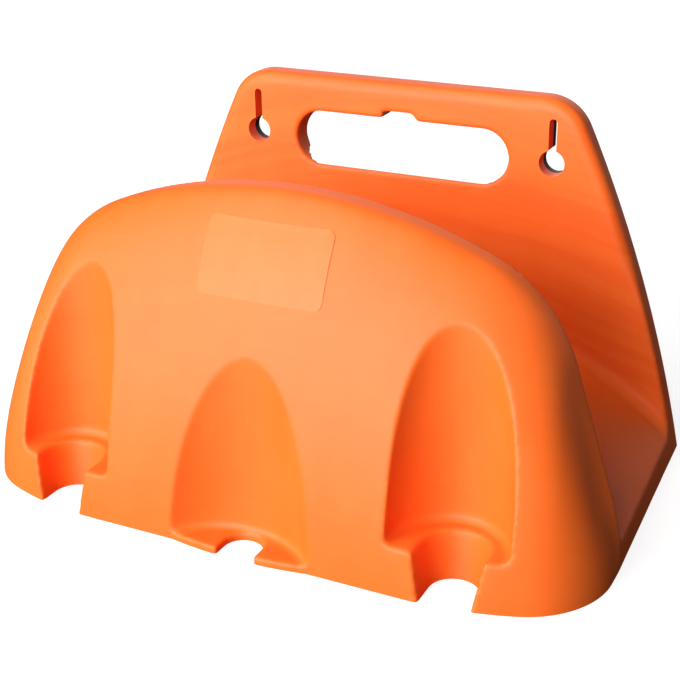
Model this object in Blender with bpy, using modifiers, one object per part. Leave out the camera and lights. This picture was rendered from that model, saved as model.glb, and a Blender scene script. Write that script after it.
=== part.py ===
# Wall hose hanger: a one-piece moulding with a pan-shaped back plate, an arched saddle
# for the coiled hose, a leaning hood with three tool seats, and a bare label on the hood.
# Metres, +Z up. The wall is towards +Y and the hood faces -Y. The origin is at the bottom,
# in the middle of the footprint.

import math

import bmesh
import bpy
from mathutils import Matrix, Vector

# Overall sizes
HEIGHT = 0.195                # foot to the top of the back plate
PLATE_DEPTH = 0.013           # wall plane to the plate's front face
CHANNEL_WIDTH = 0.126         # plate face to the back of the hood
HOOD_DEPTH = 0.069            # back of the hood to its foot in front
FOOT_HALF_BACK = 0.1683       # half width at the wall
FOOT_HALF_FRONT = 0.1744      # half width at the hood
WALL = 0.003                  # moulded wall
CLEARANCE = 0.0003            # between pieces that touch

# Back plate outline: top corner, and the side's direction at its top and foot
PLATE_CORNER_RADIUS = 0.025
PLATE_SIDE_TOP = math.radians(66.5)
PLATE_SIDE_FOOT = math.radians(74.5)
PLATE_EDGE_ROUND = 0.005

# Saddle: an arch that runs from the wall to the hood, and its fillets
SADDLE_RADIUS = 0.250
SADDLE_TOP = 0.075            # foot to the crown of the arch
PLATE_FILLET = 0.007
HOOD_FILLET = 0.007
SIDE_BAND_HEIGHT = 0.020      # height up to which the saddle's side follows the hood's
SADDLE_AXIS_Z = SADDLE_TOP - SADDLE_RADIUS

# Hood rim, in the plane of its back: crown, shoulder, straight side and foot
HOOD_HEIGHT = 0.1729
CROWN_TURN = math.radians(21.94)
SHOULDER_RADIUS = 0.0798
SHOULDER_TURN = math.radians(50.00)
RIM_FOOT_RADIUS = 0.1371

# Hood foot, in plan: straight front, easing arc and corner
FRONT_EASE_RADIUS = 0.160
FRONT_EASE_TURN = math.radians(20.0)
FOOT_CORNER_RADIUS = 0.0474

# Hood profile from foot to rim, a curve with two handles. What changes towards the side
# has its value at the middle of the hood, then its growth in the first and the second
# power of the way out.
FOOT_HANDLE = 0.442
FOOT_LEAN = (-0.014, 0.669, -0.079)
RIM_HANDLE = 0.0298
RIM_HANDLE_GROWTH = 0.0082
RIM_HANDLE_LATE_GROWTH = 0.0126
RIM_RISE = (math.radians(4.83), math.radians(-18.06), math.radians(53.77))
RIM_HANDLE_LIMIT = 0.9
PROFILE_SHIFT_RATIO = 0.694

# Side seats for long-handled tools: a round recess, its shelf and an open bore
SIDE_SEAT_X = 0.1075
SIDE_SEAT_FORWARD = 0.185     # plate face to the axis of the recess
SIDE_SEAT_RADIUS = 0.0295
SIDE_SHELF = 0.025
SIDE_BORE_X = 0.109
SIDE_BORE_FORWARD = 0.180
BORE_TOP_RADIUS = 0.0170
BORE_FOOT_RADIUS = 0.0125

# Middle seat: a wide shallow recess with a thin shelf, a notch and a bulging lip
MIDDLE_SEAT_FORWARD = 0.229
MIDDLE_SEAT_RADIUS = 0.052
MIDDLE_SHELF = 0.004
NOTCH_RADIUS = 0.0105
NOTCH_FORWARD = 0.190
LIP_BULGE = 0.0035
LIP_HALF_WIDTH = 0.038

# Keyholes: head hole below, slot above, measured from the plate's top and side
KEYHOLE_DROP = 0.0352         # top of the plate to the head hole's centre
KEYHOLE_INSET = 0.0231        # side of the plate to the head hole's centre
KEYHOLE_HEAD = 0.0145
KEYHOLE_SLOT = 0.0045
KEYHOLE_RISE = 0.0244         # head hole's centre to the top of the slot
KEYHOLE_DEPTH = 0.010

# Hand slot and the notch in its top edge
HAND_SLOT_GAP = 0.025         # head hole's centre to the end of the hand slot
HAND_SLOT_HEIGHT = 0.031
HAND_SLOT_DROP = 0.036        # top of the plate to the slot's axis
HANG_NOTCH_WIDTH = 0.021
HANG_NOTCH_RISE = 0.0042
HANG_NOTCH_SLANT = 0.003

# Ribs under the saddle
RIB_X = 0.056
RIB_THICKNESS = 0.0025
RIB_LOW = 0.012

# Label on the hood
LABEL_HALF_WIDTH = 0.034
LABEL_LOW = 0.125
LABEL_HIGH = 0.160
LABEL_CORNER = 0.004
LABEL_THICKNESS = 0.0004

# Colours
ORANGE = (0.90, 0.17, 0.035)
PALE_ORANGE = (0.93, 0.30, 0.12)

# Facets
ARC_STEP = math.radians(8.0)
FLAT = math.radians(0.5)      # faces that turn less than this are one
SHARP = math.radians(40.0)    # faces that turn more than this have an edge between them
HOOD_COLUMNS = 22
HOOD_ROWS = 14
ROUND_SIDES = 48
ARCH_SIDES = 96
EDGE_SEGMENTS = 3
FILLET_STEPS = 4
PLATE_SIDE_STEPS = 8
KEYHOLE_HEAD_STEPS = 24
KEYHOLE_SLOT_STEPS = 8
HAND_SLOT_STEPS = 16
LIP_STEPS = 12
LABEL_CORNER_STEPS = 6

# Depths below the floor of the forms that the last cut trims to it. They differ, so that
# no two faces meet there.
PLATE_BELOW = 0.0010
LIP_BELOW = 0.0017
HOOD_BELOW = 0.0025
HOOD_HOLLOW_BELOW = 0.0050
SADDLE_HOLLOW_BELOW = 0.0075
PAN_BELOW = 0.0100
SEAT_WALL_BELOW = 0.0150
FLOOR_DEPTH = 0.0200

OVERRUN = 0.005               # how far a cutter runs past the wall that it cuts
JOIN = 0.003                  # how far one form reaches into the next before they join
SEAM = 0.0006                 # step in from the hood's side to the saddle's, at the rim
INSIDE_HOOD = 0.985           # share of its width that the saddle keeps inside the hood
MERGE = 0.00001               # points closer than this are one

CUTTERS = "cutters"

# Planes from the wall forward
WALL_PLANE = (PLATE_DEPTH + CHANNEL_WIDTH + HOOD_DEPTH + LIP_BULGE) / 2
PLATE_FACE = WALL_PLANE - PLATE_DEPTH
RIM_PLANE = PLATE_FACE - CHANNEL_WIDTH
FRONT_FACE = RIM_PLANE - HOOD_DEPTH

# Heights from the floor
KEYHOLE_Z = HEIGHT - KEYHOLE_DROP
HAND_SLOT_Z = HEIGHT - HAND_SLOT_DROP


def arc_chain(x, y, heading, moves):
    """Follow arcs (radius, turn to the right) and straights (length, None) and return
    the points with the heading at each."""
    points = [(x, y, heading)]
    for size, turn in moves:
        if turn is None:
            x += size * math.cos(heading)
            y += size * math.sin(heading)
            points.append((x, y, heading))
            continue
        steps = max(2, math.ceil(turn / ARC_STEP))
        for _ in range(steps):
            after = heading - turn / steps
            x += size * (math.sin(heading) - math.sin(after))
            y += size * (math.cos(after) - math.cos(heading))
            heading = after
            points.append((x, y, heading))
    return points


def spread(points, count, shift=0.0):
    """Return count + 1 points at even shares of the length, moved outwards by shift in
    the middle of the way."""
    lengths = [0.0]
    for a, b in zip(points, points[1:]):
        lengths.append(lengths[-1] + math.hypot(b[0] - a[0], b[1] - a[1]))
    result = []
    for step in range(count + 1):
        share = step / count
        share += shift * share * (1 - share)
        aim = share * lengths[-1]
        i = 1
        while i < len(lengths) - 1 and lengths[i] < aim:
            i += 1
        part = min(1.0, (aim - lengths[i - 1]) / (lengths[i] - lengths[i - 1]))
        result.append(tuple(a + part * (b - a) for a, b in zip(points[i - 1], points[i])))
    return result


def mirrored(right):
    """Add the left half to the right half of an outline."""
    return [(-x, z) for x, z in reversed(right)] + list(right)


def plate_outline(inset=0.0):
    """Back plate in X and Z, clockwise from the left foot."""
    corner = PLATE_CORNER_RADIUS - inset
    top = HEIGHT - inset
    half = FOOT_HALF_BACK - inset
    side_turn = PLATE_SIDE_FOOT - PLATE_SIDE_TOP
    drop = top - corner * (1 - math.cos(PLATE_SIDE_TOP))
    side = drop / (math.cos(PLATE_SIDE_TOP) - math.cos(PLATE_SIDE_FOOT))
    straight = half - corner * math.sin(PLATE_SIDE_TOP)
    straight -= side * (math.sin(PLATE_SIDE_FOOT) - math.sin(PLATE_SIDE_TOP))
    moves = [(straight, None), (corner, PLATE_SIDE_TOP)]
    right = arc_chain(0.0, top, 0.0, moves)
    x, z, _ = right[-1]
    for step in range(1, PLATE_SIDE_STEPS + 1):
        angle = PLATE_SIDE_TOP + side_turn * step / PLATE_SIDE_STEPS
        right.append((
            x + side * (math.sin(angle) - math.sin(PLATE_SIDE_TOP)),
            z - side * (math.cos(PLATE_SIDE_TOP) - math.cos(angle)),
            -angle,
        ))
    right = [(point[0], point[1]) for point in right[1:]]
    return mirrored(right)


def rim_curve(inset=0.0):
    """Right half of the hood's rim in X and Z, from the top of the crown to the foot."""
    shoulder = SHOULDER_RADIUS - inset
    foot = RIM_FOOT_RADIUS - inset
    lean = CROWN_TURN + SHOULDER_TURN
    sin1, cos1 = math.sin(CROWN_TURN), math.cos(CROWN_TURN)
    sin2, cos2 = math.sin(lean), math.cos(lean)
    # The straight side ends the curve at the floor, and the crown's radius ends it at the
    # foot's width: both follow from the height and width.
    fall = HOOD_HEIGHT - inset - shoulder * (cos1 - cos2) - foot * cos2
    reach = FOOT_HALF_FRONT - inset - shoulder * (sin2 - sin1) - foot * (1 - sin2)
    crown = (reach - fall * cos2 / sin2) / (sin1 - (1 - cos1) * cos2 / sin2)
    straight = (fall - crown * (1 - cos1)) / sin2
    moves = [
        (crown, CROWN_TURN),
        (shoulder, SHOULDER_TURN),
        (straight, None),
        (foot, math.pi / 2 - lean),
    ]
    return arc_chain(0.0, HOOD_HEIGHT - inset, 0.0, moves)


def foot_curve(inset=0.0):
    """Right half of the hood's foot in X and Y, from the middle of the front to the back."""
    ease = FRONT_EASE_RADIUS - inset
    corner = FOOT_CORNER_RADIUS - inset
    sin1, cos1 = math.sin(FRONT_EASE_TURN), math.cos(FRONT_EASE_TURN)
    front = FOOT_HALF_FRONT - inset - ease * sin1 - corner * (1 - sin1)
    side = HOOD_DEPTH - inset - ease * (1 - cos1) - corner * cos1
    moves = [
        (front, None),
        (ease, FRONT_EASE_TURN),
        (corner, math.pi / 2 - FRONT_EASE_TURN),
        (side, None),
    ]
    points = arc_chain(0.0, -(FRONT_FACE + inset), 0.0, moves)
    return [(x, -y, heading) for x, y, heading in points]


def growth(values, way):
    """Value at a share of the way from the middle of the hood to its side."""
    return values[0] + values[1] * way + values[2] * way * way


def hood_rows(inset=0.0, rows=HOOD_ROWS, columns=HOOD_COLUMNS):
    """Rows of points on the hood's front, from the foot to the rim, left to right."""
    rim = spread(rim_curve(inset), columns)
    foot = spread(foot_curve(inset), columns, PROFILE_SHIFT_RATIO)
    half = []
    for step in range(columns + 1):
        way = step / columns
        start = Vector((foot[step][0], foot[step][1], 0.0))
        rim_x, rim_z, heading = rim[step]
        end = Vector((rim_x, RIM_PLANE, rim_z))
        rise = FOOT_HANDLE * rim_z
        first = start + Vector((0.0, growth(FOOT_LEAN, way) * rise, rise))
        handle = (RIM_HANDLE, RIM_HANDLE_GROWTH, RIM_HANDLE_LATE_GROWTH)
        reach = min(growth(handle, way), RIM_HANDLE_LIMIT * (RIM_PLANE - start.y))
        angle = growth(RIM_RISE, way)
        outward = Vector((-math.sin(heading), 0.0, math.cos(heading)))
        back = Vector((0.0, math.cos(angle), 0.0)) + outward * math.sin(angle)
        second = end - back * reach
        half.append((start, first, second, end))
    result = []
    for row in range(rows + 1):
        u = row / rows
        v = 1 - u
        weights = (v * v * v, 3 * v * v * u, 3 * v * u * u, u * u * u)
        right = []
        for handles in half:
            right.append(sum((w * p for w, p in zip(weights, handles)), Vector()))
        left = [Vector((-p.x, p.y, p.z)) for p in reversed(right[1:])]
        result.append(left + right)
    return result


def add_object(name, bm, collection):
    """Put a finished bmesh in the scene. What goes in the cutters' collection stays out of
    renders."""
    bmesh.ops.recalc_face_normals(bm, faces=bm.faces)
    mesh = bpy.data.meshes.new(name)
    bm.to_mesh(mesh)
    bm.free()
    obj = bpy.data.objects.new(name, mesh)
    collection.objects.link(obj)
    if collection.name == CUTTERS:
        obj.hide_render = True
        obj.display_type = "WIRE"
    return obj


def evaluated_bmesh(obj):
    """The object's mesh with its modifiers, in world space. The object itself goes."""
    bpy.context.view_layer.update()
    graph = bpy.context.evaluated_depsgraph_get()
    mesh = bpy.data.meshes.new_from_object(obj.evaluated_get(graph))
    mesh.transform(obj.matrix_world)
    bm = bmesh.new()
    bm.from_mesh(mesh)
    bpy.data.meshes.remove(mesh)
    bpy.data.objects.remove(obj)
    return bm


def outline_solid(name, points, low, high, collection, upright=False):
    """A flat outline with thickness: in X and Y from low to high in Z, or upright, in X
    and Z from low to high in Y."""
    curve = bpy.data.curves.new(name, "CURVE")
    curve.dimensions = "2D"
    curve.fill_mode = "BOTH"
    curve.extrude = (high - low) / 2
    spline = curve.splines.new("POLY")
    spline.points.add(len(points) - 1)
    spline.use_cyclic_u = True
    for point, (x, y) in zip(spline.points, points):
        point.co = (x, y, 0.0, 1.0)
    flat = bpy.data.objects.new(name, curve)
    collection.objects.link(flat)
    middle = (low + high) / 2
    if upright:
        flat.location.y = middle
        flat.rotation_euler.x = math.pi / 2
    else:
        flat.location.z = middle
    bm = evaluated_bmesh(flat)
    bpy.data.curves.remove(curve)
    bmesh.ops.remove_doubles(bm, verts=bm.verts, dist=MERGE)
    return add_object(name, bm, collection)


def round_solid(name, x, y, low, high, radius_low, radius_high, collection, reach=0.0):
    """An upright cylinder or cone. With a reach its front half is drawn forward, which
    gives a U in plan."""
    bm = bmesh.new()
    bmesh.ops.create_cone(
        bm,
        cap_ends=True,
        segments=ROUND_SIDES,
        radius1=radius_low,
        radius2=radius_high,
        depth=high - low,
        matrix=Matrix.Translation((x, y, (low + high) / 2)),
    )
    for vertex in bm.verts:
        if vertex.co.y < y - MERGE:
            vertex.co.y -= reach
    return add_object(name, bm, collection)


def box(name, low, high, collection):
    bm = bmesh.new()
    size = [b - a for a, b in zip(low, high)]
    middle = [(a + b) / 2 for a, b in zip(low, high)]
    place = Matrix.Translation(middle) @ Matrix.Diagonal((*size, 1.0))
    bmesh.ops.create_cube(bm, size=1.0, matrix=place)
    return add_object(name, bm, collection)


def combine(obj, others, operation):
    for other in others:
        modifier = obj.modifiers.new(operation.title() + " " + other.name, "BOOLEAN")
        modifier.object = other
        modifier.operation = operation
        modifier.solver = "EXACT"


def hood_front(inset, below):
    """The hood's front as an open surface, drawn on to some depth below the floor."""
    rows = hood_rows(inset)
    rows[0] = [Vector((p.x, p.y, -below)) for p in rows[0]]
    for row in rows:
        row[0].z = row[-1].z = -below
    bm = bmesh.new()
    grid = [[bm.verts.new(p) for p in row] for row in rows]
    for low, high in zip(grid, grid[1:]):
        for i in range(len(low) - 1):
            bm.faces.new((low[i], low[i + 1], high[i + 1], high[i]))
    return bm, grid


def hood_solid(name, inset, below, collection):
    """The hood's front, closed by a flat foot and a flat back."""
    bm, grid = hood_front(inset, below)
    bm.faces.new(list(reversed(grid[0])))
    bm.faces.new([row[0] for row in grid[:-1]] + grid[-1] + [row[-1] for row in grid[-2::-1]])
    bmesh.ops.remove_doubles(bm, verts=bm.verts, dist=MERGE)
    bmesh.ops.dissolve_degenerate(bm, edges=bm.edges, dist=MERGE)
    bmesh.ops.triangulate(bm, faces=bm.faces)
    return add_object(name, bm, collection)


def channel_cutter(past_hood, collection):
    """Space over the saddle, turned about the saddle's axis. Its floor has a fillet at the
    plate and one at the hood, and it runs on past the hood's back."""
    outer = SADDLE_RADIUS * 2
    front = RIM_PLANE - past_hood
    profile = [(SADDLE_RADIUS + HOOD_FILLET, front), (outer, front), (outer, PLATE_FACE)]
    for step in range(FILLET_STEPS + 1):
        angle = math.pi / 2 * step / FILLET_STEPS
        profile.append((
            SADDLE_RADIUS + PLATE_FILLET * (1 - math.sin(angle)),
            PLATE_FACE - PLATE_FILLET * (1 - math.cos(angle)),
        ))
    for step in range(FILLET_STEPS + 1):
        angle = math.pi / 2 * step / FILLET_STEPS
        profile.append((
            SADDLE_RADIUS + HOOD_FILLET * (1 - math.cos(angle)),
            RIM_PLANE + HOOD_FILLET * (1 - math.sin(angle)),
        ))
    bm = bmesh.new()
    loop = [bm.verts.new((radius, 0.0, -y)) for radius, y in profile]
    for a, b in zip(loop, loop[1:] + loop[:1]):
        bm.edges.new((a, b))
    turned = add_object("channel_profile", bm, collection)
    turned.location.z = SADDLE_AXIS_Z
    turned.rotation_euler.x = math.pi / 2
    screw = turned.modifiers.new("Turn", "SCREW")
    screw.axis = "Z"
    screw.steps = ARCH_SIDES
    screw.render_steps = ARCH_SIDES
    screw.use_merge_vertices = True
    screw.merge_threshold = MERGE
    return add_object("channel", evaluated_bmesh(turned), collection)


def half_width(outline, height):
    """Half width of an outline at a height, from its right half."""
    right = [(x, z) for x, z, *_ in outline if x > 0.0]
    for (x1, z1), (x2, z2) in zip(right, right[1:]):
        if z2 <= height <= z1:
            return x1 + (x2 - x1) * (z1 - height) / (z1 - z2)
    return right[-1][0]


def widen(bm):
    """Spread the saddle in X as it goes forward, from the plate's sides to the hood's.
    What reaches into the hood is drawn in, so that it stays inside the hood."""
    bmesh.ops.bisect_plane(
        bm,
        geom=bm.verts[:] + bm.edges[:] + bm.faces[:],
        plane_co=(0.0, RIM_PLANE, 0.0),
        plane_no=(0.0, 1.0, 0.0),
    )
    plate = plate_outline()
    rim = rim_curve()
    for vertex in bm.verts:
        level = max(0.0, min(vertex.co.z, SIDE_BAND_HEIGHT))
        ratio = (half_width(rim, level) - SEAM) / half_width(plate, level)
        forward = (WALL_PLANE - vertex.co.y) / (WALL_PLANE - RIM_PLANE)
        vertex.co.x *= 1 + (ratio - 1) * max(0.0, min(1.0, forward))
        if vertex.co.y < RIM_PLANE - MERGE:
            vertex.co.x *= INSIDE_HOOD


def round_front_edge(bm):
    """Round the edge that runs round the plate's face and down both sides of the saddle."""
    bmesh.ops.dissolve_limit(bm, angle_limit=FLAT, verts=bm.verts, edges=bm.edges)
    back = max(vertex.co.y for vertex in bm.verts)
    front = min(vertex.co.y for vertex in bm.verts)
    edges = []
    for edge in bm.edges:
        a, b = (vertex.co for vertex in edge.verts)
        on_an_end = max(a.y, b.y) < front + MERGE or min(a.y, b.y) > back - MERGE
        above_floor = min(a.z, b.z) > 0.0
        if above_floor and not on_an_end and edge.calc_face_angle_signed() > SHARP:
            edges.append(edge)
    bmesh.ops.bevel(
        bm,
        geom=edges,
        offset=PLATE_EDGE_ROUND,
        offset_type="OFFSET",
        segments=EDGE_SEGMENTS,
        profile=0.5,
        affect="EDGES",
        clamp_overlap=True,
    )


def plate_prism(name, inset, below, back, front, collection):
    """The plate's outline as a bar from one plane to another, with its sides drawn on to
    some depth below the floor."""
    outline = plate_outline(inset)
    x1, z1 = outline[-2]
    x2, z2 = outline[-1]
    x = x2 + (x2 - x1) * below / (z1 - z2)
    outline = [(-x, -below)] + outline[1:-1] + [(x, -below)]
    return outline_solid(name, outline, front, back, collection, upright=True)


def plate_and_saddle(name, collection):
    """Back plate and saddle as one solid block, rounded and spread forward, that reaches
    into the hood."""
    block = plate_prism(name, 0.0, PLATE_BELOW, WALL_PLANE, RIM_PLANE - JOIN, collection)
    cutter = channel_cutter(JOIN * 2, collection)
    combine(block, [cutter], "DIFFERENCE")
    bm = evaluated_bmesh(block)
    bpy.data.objects.remove(cutter)
    round_front_edge(bm)
    widen(bm)
    bmesh.ops.triangulate(bm, faces=bm.faces)
    return add_object(name, bm, collection)


def under_saddle(name, collection):
    """Hollow under the saddle, open to the floor and to the hollow of the plate."""
    back = PLATE_FACE + WALL + JOIN / 3
    front = RIM_PLANE - WALL - JOIN
    block = plate_prism(name, WALL, SADDLE_HOLLOW_BELOW, back, front, collection)
    bm = bmesh.new()
    middle = (WALL_PLANE + RIM_PLANE) / 2
    place = Matrix.Translation((0.0, middle, SADDLE_AXIS_Z)) @ Matrix.Rotation(
        math.pi / 2, 4, "X"
    )
    radius = SADDLE_RADIUS - WALL
    bmesh.ops.create_cone(
        bm,
        cap_ends=True,
        segments=ARCH_SIDES,
        radius1=radius,
        radius2=radius,
        depth=(WALL_PLANE - RIM_PLANE) * 2,
        matrix=place,
    )
    arch = add_object("arch", bm, collection)
    combine(block, [arch], "INTERSECT")
    bm = evaluated_bmesh(block)
    bpy.data.objects.remove(arch)
    widen(bm)
    bmesh.ops.triangulate(bm, faces=bm.faces)
    return add_object(name, bm, collection)


def arc_points(x, y, radius, start, turn, steps):
    """Points on an arc, with angles from +X towards +Y."""
    points = []
    for step in range(steps + 1):
        angle = start + turn * step / steps
        points.append((x + radius * math.cos(angle), y + radius * math.sin(angle)))
    return points


def keyhole_x():
    """Distance of the keyholes from the middle."""
    return half_width(plate_outline(), KEYHOLE_Z) - KEYHOLE_INSET


def keyhole_outline(x, grow=0.0):
    head = KEYHOLE_HEAD / 2 + grow
    slot = KEYHOLE_SLOT / 2 + grow
    mouth = math.asin(slot / head)
    top = KEYHOLE_Z + KEYHOLE_RISE - KEYHOLE_SLOT / 2
    start = math.pi / 2 + mouth
    turn = 2 * math.pi - 2 * mouth
    around = arc_points(x, KEYHOLE_Z, head, start, turn, KEYHOLE_HEAD_STEPS)
    return around + arc_points(x, top, slot, 0.0, math.pi, KEYHOLE_SLOT_STEPS)


def hand_slot_outline(grow=0.0):
    radius = HAND_SLOT_HEIGHT / 2
    centre = keyhole_x() - HAND_SLOT_GAP - radius
    quarter = math.pi / 2
    steps = HAND_SLOT_STEPS
    right = arc_points(centre, HAND_SLOT_Z, radius + grow, -quarter, math.pi, steps)
    left = arc_points(-centre, HAND_SLOT_Z, radius + grow, quarter, math.pi, steps)
    return right + left


def hang_notch_outline():
    """A small notch over the hand slot, with one upright side and one slanted side."""
    half = HANG_NOTCH_WIDTH / 2
    low = HAND_SLOT_Z
    high = HAND_SLOT_Z + HAND_SLOT_HEIGHT / 2 + HANG_NOTCH_RISE
    edge = HAND_SLOT_Z + HAND_SLOT_HEIGHT / 2
    return [
        (-half, low), (half, low), (half, edge), (half - HANG_NOTCH_SLANT, high), (-half, high),
    ]


def lip_outline():
    """Front edge of the middle shelf, a shallow arc that stands out from the hood."""
    half = LIP_HALF_WIDTH
    radius = (half * half + LIP_BULGE * LIP_BULGE) / (2 * LIP_BULGE)
    side = math.asin(half / radius)
    start = -math.pi / 2 - side
    centre = FRONT_FACE - LIP_BULGE + radius
    front = arc_points(0.0, centre, radius, start, 2 * side, LIP_STEPS)
    back = FRONT_FACE + MIDDLE_SEAT_RADIUS / 4
    return front + [(half, back), (-half, back)]


def seats(grow, past_floor, collection):
    """The three seats, the bores of the side seats and the notch of the middle one. Grown
    by a wall they are the solid that has to stay round them."""
    forms = []
    word = "wall_of_" if grow else ""
    high = HOOD_HEIGHT + OVERRUN
    taper = (BORE_TOP_RADIUS - BORE_FOOT_RADIUS) / SIDE_SHELF
    for side, hand in ((-1, "left"), (1, "right")):
        forms.append(round_solid(
            word + hand + "_seat",
            side * SIDE_SEAT_X,
            PLATE_FACE - SIDE_SEAT_FORWARD,
            SIDE_SHELF - grow,
            high,
            SIDE_SEAT_RADIUS + grow,
            SIDE_SEAT_RADIUS + grow,
            collection,
            HOOD_DEPTH,
        ))
        past_shelf = -JOIN / 3 if grow else JOIN
        forms.append(round_solid(
            word + hand + "_bore",
            side * SIDE_BORE_X,
            PLATE_FACE - SIDE_BORE_FORWARD,
            -past_floor,
            SIDE_SHELF + past_shelf,
            BORE_FOOT_RADIUS - taper * past_floor + grow,
            BORE_TOP_RADIUS + taper * past_shelf + grow,
            collection,
            HOOD_DEPTH,
        ))
    forms.append(round_solid(
        word + "middle_seat",
        0.0,
        PLATE_FACE - MIDDLE_SEAT_FORWARD,
        -past_floor if grow else MIDDLE_SHELF,
        high,
        MIDDLE_SEAT_RADIUS + grow,
        MIDDLE_SEAT_RADIUS + grow,
        collection,
    ))
    if not grow:
        forms.append(round_solid(
            "notch",
            0.0,
            PLATE_FACE - NOTCH_FORWARD,
            -past_floor,
            MIDDLE_SHELF + OVERRUN,
            NOTCH_RADIUS,
            NOTCH_RADIUS,
            collection,
            HOOD_DEPTH,
        ))
    return forms


def plate_cutters(collection):
    """Keyholes, hand slot and the notch over it, all right through the plate."""
    front = PLATE_FACE - OVERRUN
    back = WALL_PLANE + OVERRUN
    outlines = [
        ("left_keyhole", keyhole_outline(-keyhole_x())),
        ("right_keyhole", keyhole_outline(keyhole_x())),
        ("hand_slot", hand_slot_outline()),
        ("hang_notch", hang_notch_outline()),
    ]
    return [
        outline_solid(name, points, front, back, collection, upright=True)
        for name, points in outlines
    ]


def collar_and_bosses(collection):
    """What stays behind the plate: a boss round each keyhole, and a collar round the ends
    and top of the hand slot."""
    front = PLATE_FACE + WALL - JOIN / 3
    boss_back = PLATE_FACE + KEYHOLE_DEPTH
    forms = []
    for side, hand in ((-1, "left"), (1, "right")):
        outline = keyhole_outline(side * keyhole_x(), WALL)
        forms.append(outline_solid(
            hand + "_boss", outline, front, boss_back, collection, upright=True
        ))
    collar = outline_solid(
        "collar", hand_slot_outline(WALL), front, WALL_PLANE, collection, upright=True
    )
    radius = HAND_SLOT_HEIGHT / 2
    end = keyhole_x() - HAND_SLOT_GAP - radius
    open_foot = box(
        "collar_gap",
        (-end, front - JOIN, HAND_SLOT_Z - radius - WALL * 2),
        (end, WALL_PLANE + OVERRUN, HAND_SLOT_Z),
        collection,
    )
    combine(collar, [open_foot], "DIFFERENCE")
    forms.append(collar)
    return forms


def hollow(collection):
    """The space inside the moulding, open to the floor and to the wall."""
    space = hood_solid("hollow", WALL, HOOD_HOLLOW_BELOW, collection)
    rear_wall = box(
        "rear_wall",
        (-FOOT_HALF_FRONT, RIM_PLANE - WALL, -PAN_BELOW),
        (FOOT_HALF_FRONT, RIM_PLANE + WALL, HOOD_HEIGHT),
        collection,
    )
    back = WALL_PLANE + OVERRUN * 2
    pan = plate_prism("pan", WALL, PAN_BELOW, back, PLATE_FACE + WALL, collection)
    ribs = [
        box(
            hand + "_rib",
            (side * RIB_X - RIB_THICKNESS / 2, RIM_PLANE - WALL / 2, RIB_LOW),
            (side * RIB_X + RIB_THICKNESS / 2, PLATE_FACE + WALL / 2, SADDLE_TOP),
            collection,
        )
        for side, hand in ((-1, "left"), (1, "right"))
    ]
    combine(space, [rear_wall], "DIFFERENCE")
    combine(space, [under_saddle("under_saddle", collection), pan], "UNION")
    combine(space, seats(WALL, SEAT_WALL_BELOW, collection), "DIFFERENCE")
    combine(space, ribs + collar_and_bosses(collection), "DIFFERENCE")
    return space


def hanger_body(parts, cutters):
    body = plate_and_saddle("hanger_body", parts)
    hood = hood_solid("hood", 0.0, HOOD_BELOW, cutters)
    lip = outline_solid("lip", lip_outline(), -LIP_BELOW, MIDDLE_SHELF, cutters)
    floor = box(
        "floor",
        (-FOOT_HALF_FRONT * 2, FRONT_FACE * 2, -FLOOR_DEPTH),
        (FOOT_HALF_FRONT * 2, WALL_PLANE * 2, 0.0),
        cutters,
    )
    combine(body, [hood, lip], "UNION")
    combine(body, [hollow(cutters)], "DIFFERENCE")
    combine(body, seats(0.0, OVERRUN, cutters) + plate_cutters(cutters), "DIFFERENCE")
    combine(body, [floor], "DIFFERENCE")
    weld = body.modifiers.new("Weld", "WELD")
    weld.merge_threshold = MERGE
    return body


def label_outline():
    """The label's outline as the front shows it, in X and Z."""
    x = LABEL_HALF_WIDTH - LABEL_CORNER
    low = LABEL_LOW + LABEL_CORNER
    high = LABEL_HIGH - LABEL_CORNER
    quarter = math.pi / 2
    corners = [(x, low), (x, high), (-x, high), (-x, low)]
    points = []
    for place, (across, up) in enumerate(corners):
        start = quarter * (place - 1)
        points += arc_points(across, up, LABEL_CORNER, start, quarter, LABEL_CORNER_STEPS)
    return points


def front_label(parts, cutters):
    """The film that follows the hood's front inside the label's outline."""
    bm, _ = hood_front(0.0, 0.0)
    bmesh.ops.recalc_face_normals(bm, faces=bm.faces)
    bm.normal_update()
    for vertex in bm.verts:
        vertex.co += vertex.normal * CLEARANCE
    bmesh.ops.solidify(bm, geom=bm.faces[:], thickness=-LABEL_THICKNESS)
    skin = add_object("label_skin", bm, cutters)
    label = outline_solid(
        "front_label", label_outline(), FRONT_FACE, RIM_PLANE, parts, upright=True
    )
    combine(label, [skin], "INTERSECT")
    return label


def material(name, colour, roughness):
    made = bpy.data.materials.new(name)
    made.use_nodes = True
    shader = made.node_tree.nodes["Principled BSDF"]
    shader.inputs["Base Color"].default_value = (*colour, 1.0)
    shader.inputs["Roughness"].default_value = roughness
    shader.inputs["Metallic"].default_value = 0.0
    made.diffuse_color = (*colour, 1.0)
    return made


def new_collection(name):
    collection = bpy.data.collections.new(name)
    bpy.context.scene.collection.children.link(collection)
    return collection


def main():
    for obj in list(bpy.data.objects):
        bpy.data.objects.remove(obj)
    parts = new_collection("wall_hose_hanger")
    cutters = new_collection(CUTTERS)
    body = hanger_body(parts, cutters)
    body.data.materials.append(material("orange_plastic", ORANGE, 0.38))
    label = front_label(parts, cutters)
    label.data.materials.append(material("label_film", PALE_ORANGE, 0.45))


main()
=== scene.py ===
import math

import bpy
from mathutils import Matrix, Vector


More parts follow.
